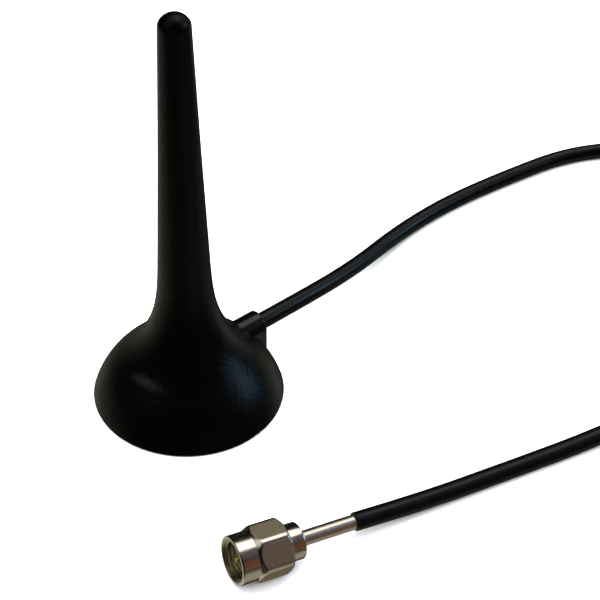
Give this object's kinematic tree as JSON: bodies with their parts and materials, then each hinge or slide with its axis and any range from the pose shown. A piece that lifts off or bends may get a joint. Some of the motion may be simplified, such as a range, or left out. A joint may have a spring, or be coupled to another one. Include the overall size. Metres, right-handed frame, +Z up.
{
  "type": "magnetic-mount stub antenna",
  "caption": "Tapered stub antenna mast on a round domed magnetic foot, with a thin coax lead that ends in a screw-on coaxial plug.",
  "frame": {"origin": "centre of the foot's underside, on the mast's axis", "axes": "+Z up the mast, +X the way the lead leaves the foot"},
  "size_m": [0.1486, 0.0824, 0.0725],
  "materials": {
    "housing_black": "moulded plastic, matte with a fine grain",
    "pad_rubber": "smooth rubber sheet",
    "cup_steel": "zinc-plated pressed steel",
    "magnet_plating": "nickel-plated magnet",
    "board_green": "solder-masked circuit board",
    "brass": "turned brass",
    "bush_white": "natural moulded plastic",
    "bronze_wire": "drawn bronze wire",
    "solder": "bright solder",
    "grommet_black": "glossy flexible PVC",
    "clamp_plating": "tin-plated crimp ring",
    "polyethylene": "translucent polyethylene",
    "copper": "bare copper",
    "tinned_braid": "tinned copper braid",
    "nut_nickel": "nickel plating, satin on the flats",
    "body_nickel": "nickel plating",
    "stem_nickel": "nickel plating",
    "gasket_rubber": "silicone rubber",
    "ptfe": "white PTFE",
    "gold": "gold plating",
    "cable_jacket": "satin PVC jacket",
    "tie_black": "flat plastic band"
  },
  "bodies": {
    "root": {"cable_anchor_clamp": "clamp_plating", "coil_ties": "tie_black", "exit_grommet": "grommet_black", "foot_pad": "pad_rubber", "ground_cup": "cup_steel", "lead_braid_tail": "tinned_braid", "lead_cable_antenna_side": "cable_jacket", "lead_cable_plug_side": "cable_jacket", "lead_coil": "cable_jacket", "lead_core_tail": "copper", "lead_dielectric_tail": "polyethylene", "matching_board": "board_green", "plug_body": "body_nickel", "plug_centre_pin": "gold", "plug_gasket": "gasket_rubber", "plug_insulator": "ptfe", "plug_lead_core": "copper", "plug_lead_dielectric": "polyethylene", "plug_snap_ring": "bronze_wire", "plug_stem": "stem_nickel", "radiator_bush": "bush_white", "radiator_ferrule": "brass", "radiator_former": "bush_white", "radiator_spring": "bronze_wire", "radome_housing": "housing_black", "ring_magnet": "magnet_plating", "solder_joints": "solder"},
    "plug_nut": {"plug_coupling_nut": "nut_nickel"}
  },
  "joints": [
    {"name": "nut_spin", "type": "hinge", "parent": "root", "child": "plug_nut", "pos_m": [-0.02106, -0.03751, 0.00505], "axis": [-0.9701, 0.2222, 0.0976], "continuous": true}
  ]
}
